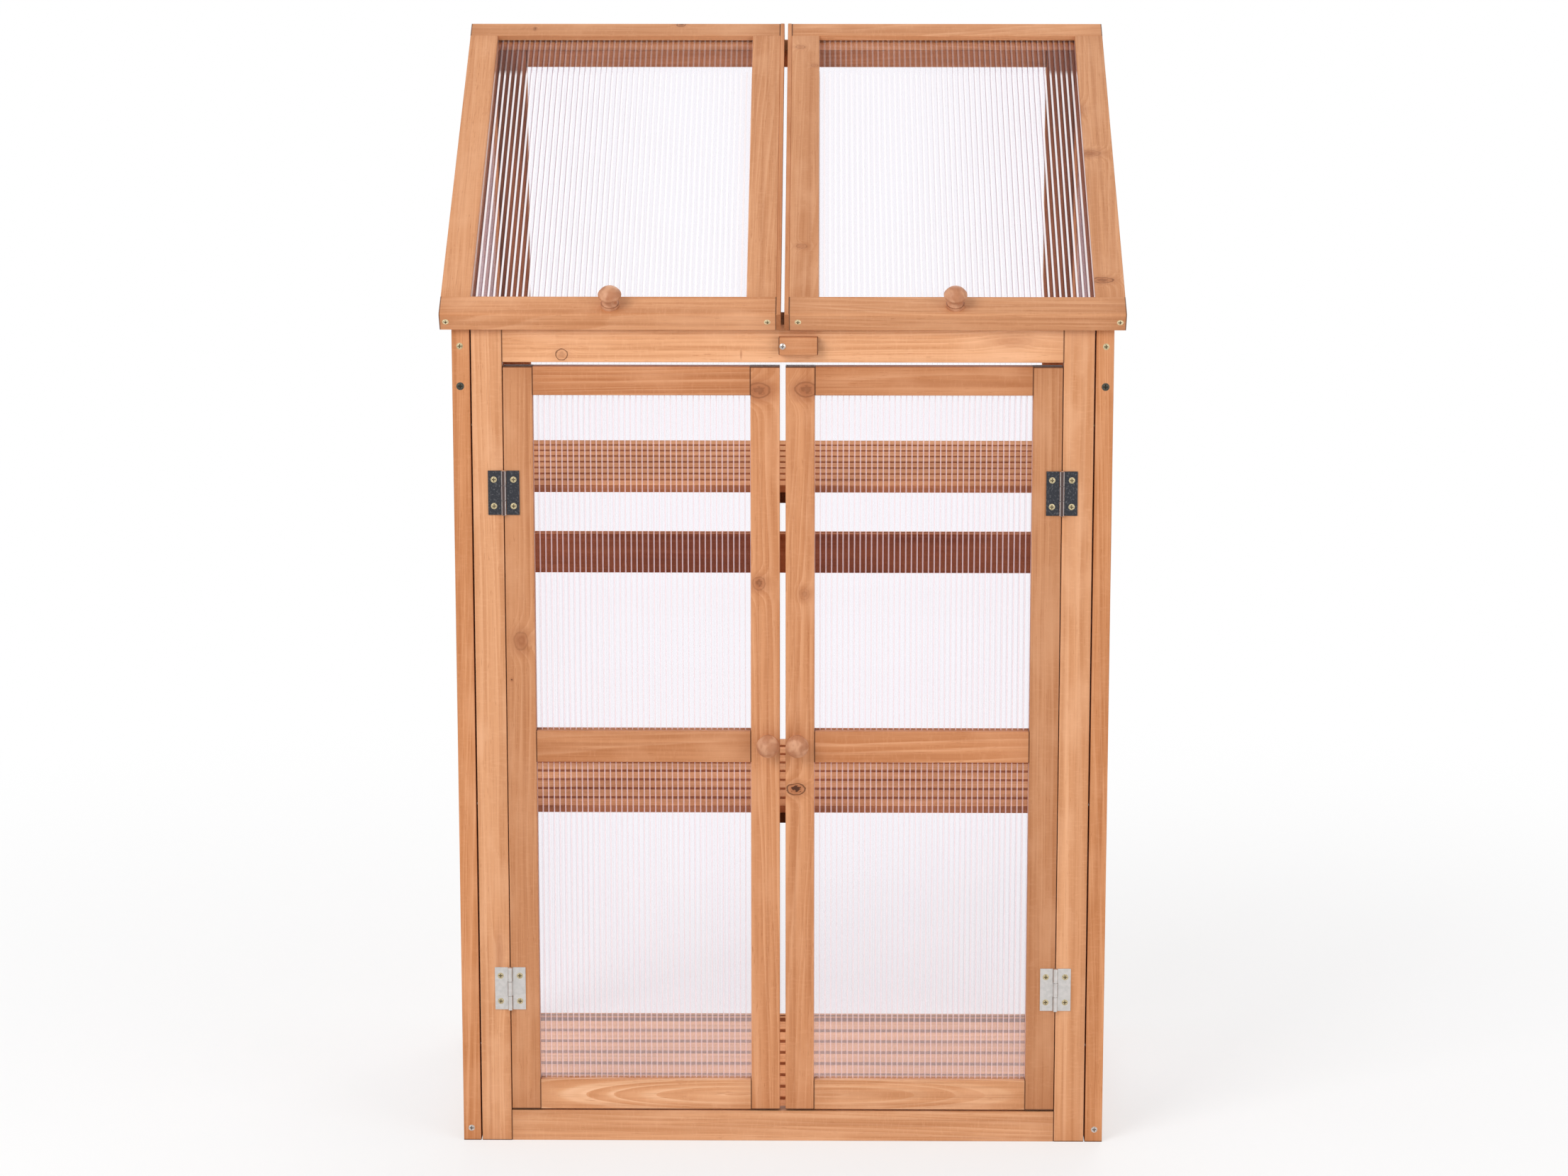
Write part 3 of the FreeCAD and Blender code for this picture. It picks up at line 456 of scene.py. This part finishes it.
def twin_wall(name, lie, inward=None, white=rib_white, lines=(line_share, line_reach),
              edge_share=thin_edge_share):
    """Twin-wall sheet with upright channels. The lie turns the pane to face the front.

    Faces that look inward show hardly any lines, as the ribs are lit from behind there."""
    low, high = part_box(name)
    made, tree, surface, object_place = new_material(name)
    tree.nodes.remove(surface)
    turn = tuple(math.radians(a) for a in lie)
    from_middle = vectors(tree, "SUBTRACT", object_place, tuple((low + high) / 2))
    local = shade(tree, "ShaderNodeMapping", from_middle, None, turn)
    across, through, along = parts_of(tree, local)
    face = shade(tree, "ShaderNodeTexCoord", out=1)
    normal = shade(tree, "ShaderNodeMapping", face, None, turn)
    sideways = sums(tree, "ABSOLUTE", parts_of(tree, normal)[0])
    on_rib = sums(tree, "GREATER_THAN", sideways, turned_to)
    skin_begins = sheet_half_thickness * skin_share
    outside = sums(tree, "GREATER_THAN", sums(tree, "ABSOLUTE", through), skin_begins)
    leaving = shade(tree, "ShaderNodeNewGeometry", out=6)

    # The ribs show as pale lines painted on the skins, a painted highlight, with a painted darker edge
    # far from the middle
    pane_width = high.x - low.x if lie[2] == 0 else high.y - low.y
    first_rib = rib_pitch / 2 if int(pane_width // rib_pitch) % 2 else 0.0
    shifted = sums(tree, "ADD", across, first_rib + ribs_before_first * rib_pitch)
    to_rib = sums(tree, "PINGPONG", shifted, rib_pitch / 2)
    share, reach = lines
    pale = times(tree, between(tree, to_rib, *reach), share)
    if lie[0]:
        below_top = between(tree, along, *lid_lines_begin)
        fade = scaled(tree, below_top, 1 - lid_top_line_share, lid_top_line_share)
        pale = times(tree, pale, fade)
    to_edge = sums(tree, "PINGPONG", sums(tree, "ADD", shifted, edge_offset), rib_pitch / 2)
    far_out = sums(tree, "ABSOLUTE", parts_of(tree, object_place)[0])
    thin = times(tree, between(tree, far_out, *thin_edge_from), edge_share)
    thin = times(tree, between(tree, to_edge, *thin_edge), thin)
    thick = times(tree, between(tree, far_out, *thick_edge_from), thick_edge_share)
    thick = times(tree, between(tree, to_edge, *thick_edge), thick)
    dark = sums(tree, "MAXIMUM", thin, thick)
    # Painted reflection: the floor glare grows towards the bottom of the panes
    low_down = between(tree, parts_of(tree, object_place)[2], *glare_heights)
    if inward:
        looks_in = vectors(tree, "DOT_PRODUCT", face, inward)
        looks_out = sums(tree, "LESS_THAN", looks_in, turned_to)
        line_level = scaled(tree, looks_out, 1 - inner_line_share, inner_line_share)
        pale = times(tree, pale, line_level)
        dark = times(tree, dark, line_level)
        low_down = times(tree, low_down, looks_out)

    clear = shade(tree, "ShaderNodeBsdfTransparent", (*sheet_tint, 1))
    veil = shade(tree, "ShaderNodeBsdfDiffuse", (*sheet_white, 1))
    line = shade(tree, "ShaderNodeBsdfDiffuse", (*white, 1))
    edge = shade(tree, "ShaderNodeBsdfTransparent", (*rib_shadow, 1))
    gloss = shade(tree, "ShaderNodeBsdfGlossy", (*sheet_gloss, 1), gloss_roughness)
    glare = shade(tree, "ShaderNodeBsdfGlossy", (*floor_glare, 1), glare_roughness)
    fresnel = shade(tree, "ShaderNodeFresnel", sheet_ior)
    skin = shade(tree, "ShaderNodeMixShader", veil_share, clear, veil)
    skin = shade(tree, "ShaderNodeMixShader", times(tree, low_down, glare_share), skin, glare)
    skin = shade(tree, "ShaderNodeMixShader", dark, skin, edge)
    skin = shade(tree, "ShaderNodeMixShader", pale, skin, line)
    skin = shade(tree, "ShaderNodeMixShader", fresnel, skin, gloss)
    skin = shade(tree, "ShaderNodeMixShader", leaving, skin, clear)
    rib = shade(tree, "ShaderNodeMixShader", rib_share, clear, line)
    inner = shade(tree, "ShaderNodeMixShader", on_rib, clear, rib)
    sheet = shade(tree, "ShaderNodeMixShader", outside, inner, skin)
    tree.links.new(sheet, tree.nodes["Material Output"].inputs["Surface"])
    return made


finish_as("back_wall_panes", twin_wall, facing_front, towards_front, sheet_white)
for side, inward in side_inward.items():
    finish_as(f"{side}_side_panes", twin_wall, facing_side, inward, sheet_white)

# Shelves and floor grid
# Eight thin slats each, nailed from below to three bearers. The shelves lie on four strips that
# are screwed to the side walls, and the floor grid stands on its bearers.

slats_lie = (90, -90, 0)
bearers_lie = (90, 0, 0)
slat_row = ((1, 8, 1), (0, 0.033, 0))
bearer_rows = ((3, 1, 3), (0.02, 0, 0.012))
cleat_rows = ((2, 1, 2), (0.016, 0, 0.02))
# Painted light: each shelf's slats are painted lighter, the floor grid's most, for the light that
# reaches them inside the greenhouse
slat_painted_light = {
    "upper_shelf": (1.14, 1.14, 1.08),
    "middle_shelf": (1.16, 1.2, 1.2),
    "floor": (1.3, 1.32, 1.3),
}

for shelf, tone in slat_painted_light.items():
    slat_finish = {"oil": 0.0, "inside": towards_front, "tone": tone}
    finish_as(f"{shelf}_slats", oiled_timber, slats_lie, *slat_row, **slat_finish)
finish_as("shelf_bearers", oiled_timber, bearers_lie, *bearer_rows, oil=0.8, inside=towards_front)
finish_as("shelf_cleats", oiled_timber, bearers_lie, *cleat_rows, inside=towards_front)

# Doors
# Each is a frame of two stiles and three rails with two panes let into its grooves, hung on two
# butt hinges, with a turned knob near its meeting edge.

door_stiles = ((2, 1, 1), (0.0325, 0, 0))
door_rail_oil = {"top": 0.9, "mid": 0.78, "bottom": 0.05}
stile_shades = {"left": (0.905, 1.04), "right": (1.0, 0.86)}
arched_figure = {"left": (90, 0.0205, -0.1), "right": (90, 0.0205, 0.1)}
# The knots with a heart of 1.8 sit at the tops of the meeting stiles. Their wide dark halos are partly
# the knots' own colour and partly painted shade under the turn button.
door_knots = {
    "left": [
        ((-0.2949, -0.218, 0.588), 0.008, 0.0105, 0.85, 0.15, 0.0),
        ((-0.3059, -0.218, 0.543), 0.0016, 0.0018, 0.6, 0.0, 0.9),
        ((-0.0265, -0.218, 0.6543), 0.0072, 0.0078, 1.0, 0.2, 0.35),
        ((-0.0265, -0.218, 0.8725), 0.0125, 0.0085, 1.8, 0.3, 0.3),
    ],
    "right": [
        ((0.0152, -0.218, 0.4171), 0.0108, 0.0066, 1.0, 0.8, 1.0),
        ((0.0262, -0.218, 0.8735), 0.0125, 0.0085, 1.8, 0.3, 0.3),
        ((0.0245, -0.218, 0.642), 0.006, 0.0065, 0.5, 0.05, 0.1),
    ],
}

for side in ("left", "right"):
    stile_finish = {"oil": 0.65, "figure": 0.6, "knots": door_knots[side], "shades": stile_shades[side]}
    finish_as(f"{side}_door_stiles", oiled_timber, straight_up, *door_stiles, **stile_finish)
    for rail, oil in door_rail_oil.items():
        pith = arched_figure[side] if rail == "bottom" else None
        rail_finish = {"oil": oil, "figure": 0.9, "pith": pith}
        finish_as(f"{side}_door_{rail}_rail", oiled_timber, across_front, **rail_finish)
    finish_as(f"{side}_door_panes", twin_wall, facing_front)

# Lids
# Each lid is a frame like a door's, laid on the slope and hinged at the back. A thin lath
# covers its meeting edge, and its front rail is rounded where it hangs over.

lid_stiles_lie = (90 - roof_pitch, 0, 0)
lid_rails_lie = (90 - roof_pitch, -90, 0)
lid_stiles = ((2, 1, 1), (0.033, 0, 0))
lid_oil = 0.4
lid_rib_white = (0.98, 0.93, 0.95)
lid_lines = (0.85, (0.0014, 0.0008))
lid_edge_share = 0.9
lid_knots = {
    "left": [
        ((-0.3029, 0.219, 1.2525), 0.0035, 0.002, 0.5, 0.6, 0.6),
        ((-0.127, 0.226, 1.257), 0.004, 0.0055, 0.7, 0.9, 0.5),
    ],
    "right": [
        ((0.3523, 0.0103, 1.1184), 0.013, 0.006, 0.8, 0.15, 0.1),
        ((0.3558, -0.1866, 0.9921), 0.012, 0.005, 0.9, 0.6, 0.3),
        ((0.3423, 0.0821, 1.1645), 0.008, 0.011, 0.6, 0.0, 0.0),
        ((0.0171, 0.1873, 1.2321), 0.0055, 0.0035, 0.4, 0.35, 0.0),
        ((0.0342, 0.1557, 1.2118), 0.004, 0.003, 0.4, 0.3, 0.0),
        ((0.0207, -0.1357, 1.0247), 0.006, 0.004, 0.45, 0.3, 0.0),
    ],
}

for side, knots in lid_knots.items():
    lid_finish = {"oil": lid_oil, "knots": knots}
    finish_as(f"{side}_lid_stiles", oiled_timber, lid_stiles_lie, *lid_stiles, **lid_finish)
    finish_as(f"{side}_lid_front_rail", oiled_timber, lid_rails_lie, oil=lid_oil)
    finish_as(f"{side}_lid_back_rail", oiled_timber, lid_rails_lie, **lid_finish)
    finish_as(f"{side}_lid_edge_lath", oiled_timber, lid_stiles_lie, oil=1.0)
    pane_finish = {"white": lid_rib_white, "lines": lid_lines, "edge_share": lid_edge_share}
    finish_as(f"{side}_lid_pane", twin_wall, lid_stiles_lie, **pane_finish)

# Turn button
# A short block of the same wood on one screw, which turns down over the tops of the doors.

finish_as("turn_button", oiled_timber, across_front, oil=0.7)

# Knobs
# Four turned mushroom knobs of paler, drier wood, each held by a screw from behind.

knob_base = (0.55, 0.255, 0.135)
knob_grain = (0.36, 0.13, 0.058)
knob_pale = (0.68, 0.37, 0.225)
painted_groove_shade = (0.17, 0.06, 0.025)
knob_figure = (75.0, 1.0)
figure_reach = (0.42, 0.62)
figure_share = 0.45
streak_stretch = (260, 70, 160)
streak_reach = (0.45, 0.7)
streak_share = 0.35
groove_reach = 0.006
groove_edge = (0.8, 0.35)


def open_to_air(tree, reach):
    """1 on an open face, and less down in a groove or recess of the same piece."""
    return shade(tree, "ShaderNodeAmbientOcclusion", None, reach, out=1, only_local=True, samples=8)


def turned_wood(name):
    """Turned softwood with little oil on it, with painted shade in its groove."""
    made, tree, surface, object_place = new_material(name)
    figure = noise(tree, object_place, *knob_figure)
    colour = mixed(tree, between(tree, figure, *figure_reach), knob_grain, knob_pale)
    colour = mixed(tree, 1 - figure_share, colour, knob_base)
    streaks = noise(tree, vectors(tree, "MULTIPLY", object_place, streak_stretch), 1.0, 2.0)
    streaks = times(tree, between(tree, streaks, *streak_reach), streak_share)
    colour = mixed(tree, streaks, colour, knob_grain)
    # Painted shade down in the groove, found by ambient occlusion
    hollow = open_to_air(tree, groove_reach)
    colour = mixed(tree, between(tree, hollow, *groove_edge), colour, painted_groove_shade)
    tree.links.new(colour, surface.inputs["Base Color"])
    surface.inputs["Roughness"].default_value = 0.5
    surface.inputs["Specular IOR Level"].default_value = 0.3
    return made


for knob in ("left_door_knob", "right_door_knob", "left_lid_knob", "right_lid_knob"):
    finish_as(knob, turned_wood)

# Hinges
# Small butt hinges pressed from steel sheet, with their knuckles rolled round a loose pin. The
# upper pair on the doors is blackened, and the rest are zinc-plated. The upper pair's knuckles are
# painted dark in front and bright at the sides, a painted reflection.

door_hinge_middle = 0.47
door_hinge_axis = 0.312
knuckle_radius = 0.003
bright_zinc = (0.66, 0.63, 0.61)
dull_zinc = (0.59, 0.57, 0.55)
blackened = (0.05, 0.052, 0.06)
rubbed = (0.17, 0.17, 0.18)
# Painted reflection on the upper knuckles: dark where they face the front, bright where they face the
# sides
painted_knuckle_shade = (0.10, 0.07, 0.065)
painted_knuckle_highlight = (0.90, 0.86, 0.85)
knuckle_turn = (0.5, 0.8)
blotch_noise = (220.0, 5.0)
blotch_reach = (0.35, 0.65)
rub_noise = (500.0, 5.0)
rub_reach = (0.5, 0.8)
zinc_roughness = (0.25, 0.3)


def plated_steel(name, blackened_above=None):
    """Zinc plate with faint blotches. Door leaves in front may be blackened above a height, their
    knuckles painted dark in front and bright at the sides as a painted reflection.
    """
    made, tree, surface, object_place = new_material(name)
    blotch = noise(tree, object_place, *blotch_noise)
    colour = mixed(tree, between(tree, blotch, *blotch_reach), bright_zinc, dull_zinc)
    if blackened_above:
        side_place, depth, height = parts_of(tree, object_place)
        off_axis = sums(tree, "SUBTRACT", sums(tree, "ABSOLUTE", side_place), door_hinge_axis)
        knuckle = sums(tree, "LESS_THAN", sums(tree, "ABSOLUTE", off_axis), knuckle_radius)
        upper = sums(tree, "GREATER_THAN", height, blackened_above)
        upper = times(tree, upper, sums(tree, "LESS_THAN", depth, 0.0))
        worn = noise(tree, object_place, *rub_noise)
        dark = mixed(tree, between(tree, worn, *rub_reach), blackened, rubbed)
        # Painted reflection: the knuckle is painted dark where it faces the front and bright where it
        # faces the sides
        face = shade(tree, "ShaderNodeTexCoord", out=1)
        sideways = sums(tree, "ABSOLUTE", parts_of(tree, face)[0])
        rolled = mixed(tree, between(tree, sideways, *knuckle_turn), painted_knuckle_shade, painted_knuckle_highlight)
        colour = mixed(tree, upper, colour, mixed(tree, knuckle, dark, rolled))
    tree.links.new(colour, surface.inputs["Base Color"])
    surface.inputs["Metallic"].default_value = 1.0
    tree.links.new(scaled(tree, blotch, *zinc_roughness), surface.inputs["Roughness"])
    return made


finish_as("cabinet_hinge_leaves", plated_steel, door_hinge_middle)
for side in ("left", "right"):
    finish_as(f"{side}_door_hinge_leaves", plated_steel, door_hinge_middle)
    finish_as(f"{side}_lid_hinge_leaves", plated_steel)
finish_as("hinge_pins", plated_steel)

# Screws and nails
# Countersunk screws with cross recesses, most of them yellow-passivated. The lower ones in the
# posts and the turn button's are zinc-plated, and one in the top of each post is dark.

passivated = (0.62, 0.52, 0.32)
passivated_pale = (0.90, 0.76, 0.48)
screw_zinc = (0.66, 0.60, 0.57)
screw_dark = (0.10, 0.10, 0.085)
tarnish = (0.6, 0.56, 0.5)
tarnish_noise = (900.0, 3.0)
tarnish_reach = (0.4, 0.7)
painted_recess_shade = (0.035, 0.022, 0.012)
recess_reach = 0.0016
recess_edge = (0.85, 0.55)
pivot_within = 0.05
post_screws_beyond = 0.34
dark_screws = (0.85, 0.905)


def screw_plate(name, base=passivated):
    """Plated steel with painted shade down in the recess."""
    made, tree, surface, object_place = new_material(name)
    colour = base
    if name == "cabinet_screws":
        side_place, _, height = parts_of(tree, object_place)
        off_middle = sums(tree, "ABSOLUTE", side_place)
        pivot = sums(tree, "LESS_THAN", off_middle, pivot_within)
        in_post = sums(tree, "GREATER_THAN", off_middle, post_screws_beyond)
        low_down = times(tree, sums(tree, "LESS_THAN", height, door_hinge_middle), in_post)
        colour = mixed(tree, sums(tree, "MAXIMUM", pivot, low_down), colour, screw_zinc)
        above = sums(tree, "GREATER_THAN", height, dark_screws[0])
        dark = times(tree, above, sums(tree, "LESS_THAN", height, dark_screws[1]))
        colour = mixed(tree, dark, colour, screw_dark)
    blotch = noise(tree, object_place, *tarnish_noise)
    tarnished = mixed(tree, 1.0, colour, tarnish, "MULTIPLY")
    colour = mixed(tree, between(tree, blotch, *tarnish_reach), colour, tarnished)
    # Painted shade down in the cross recess, found by ambient occlusion
    hollow = open_to_air(tree, recess_reach)
    colour = mixed(tree, between(tree, hollow, *recess_edge), colour, painted_recess_shade)
    tree.links.new(colour, surface.inputs["Base Color"])
    surface.inputs["Metallic"].default_value = 1.0
    surface.inputs["Roughness"].default_value = 0.35
    return made


finish_as("cabinet_screws", screw_plate)
for side in ("left", "right"):
    finish_as(f"{side}_door_screws", screw_plate)
    finish_as(f"{side}_lid_screws", screw_plate, passivated_pale)
finish_as("shelf_nails", screw_plate, bright_zinc)

# Studio
# A pale floor and a white surround, one large soft lamp high on the left, a weaker one on the
# right and one behind. The camera stands where the photographer's did.

white_to_eye = 1.0
sky_level = 0.62
floor_grey = 0.9
floor_share_of_light = 0.52
floor_radius = 3.0
floor_fade = (0.7, 2.2)


def seen_directly(tree):
    """1 where the eye, a reflection or clear sheet looks, and 0 for the light on the object."""
    rays = shade(tree, "ShaderNodeLightPath", out=0).node.outputs
    both = sums(tree, "MAXIMUM", rays["Is Camera Ray"], rays["Is Glossy Ray"])
    return sums(tree, "MAXIMUM", both, rays["Is Transmission Ray"])


world = bpy.data.worlds.new("surround")
bpy.context.scene.world = world
world.use_nodes = True
tree = world.node_tree
strength = scaled(tree, seen_directly(tree), white_to_eye - sky_level, sky_level)
tree.nodes["Background"].inputs["Color"].default_value = (1, 1, 1, 1)
tree.links.new(strength, tree.nodes["Background"].inputs["Strength"])

disc = bmesh.new()
bmesh.ops.create_circle(disc, cap_ends=True, radius=floor_radius, segments=96)
floor_mesh = bpy.data.meshes.new("floor")
disc.to_mesh(floor_mesh)
disc.free()
floor = bpy.data.objects.new("floor", floor_mesh)
bpy.context.scene.collection.objects.link(floor)
floor_paint, tree, surface, object_place = new_material("floor")
tree.nodes.remove(surface)
fade = between(tree, vectors(tree, "LENGTH", object_place), *floor_fade)
share = scaled(tree, fade, 1 - floor_share_of_light, floor_share_of_light)
share = times(tree, seen_directly(tree), share)
matt = shade(tree, "ShaderNodeBsdfDiffuse", (floor_grey, floor_grey, floor_grey, 1))
glow = shade(tree, "ShaderNodeEmission", (1, 1, 1, 1), white_to_eye)
floor_look = shade(tree, "ShaderNodeMixShader", share, matt, glow)
tree.links.new(floor_look, tree.nodes["Material Output"].inputs["Surface"])
floor_mesh.materials.append(floor_paint)


def stand(name, thing, place, aim):
    """Puts a lamp or the camera at a place, looking at a point."""
    holder = bpy.data.objects.new(name, thing)
    holder.location = place
    holder.rotation_euler = (Vector(aim) - Vector(place)).to_track_quat("-Z", "Y").to_euler()
    bpy.context.scene.collection.objects.link(holder)
    return holder


def soft_lamp(name, place, aim, size, power):
    """A square lamp that looks at a point."""
    lamp = bpy.data.lights.new(name, "AREA")
    lamp.size = size
    lamp.energy = power
    stand(name, lamp, place, aim)


soft_lamp("key", place=(-2.4, -3.2, 3.0), aim=(0, 0, 0.6), size=2.2, power=95)
soft_lamp("fill", place=(3.0, -3.0, 1.6), aim=(0, 0, 0.6), size=2.5, power=40)
soft_lamp("back", place=(0.5, 3.0, 3.0), aim=(0, 0, 0.8), size=2.5, power=50)

focal_length = 89.0
sensor_width = 36.0
camera_place = (0.043, -4.498, 1.451)
camera_aim = (0.0015, -0.218, 0.649)
camera = bpy.data.cameras.new("camera")
camera.lens = focal_length
camera.sensor_width = sensor_width
bpy.context.scene.camera = stand("camera", camera, camera_place, camera_aim)
bpy.context.scene.view_settings.view_transform = "Standard"
bpy.context.scene.cycles.transparent_max_bounces = 48
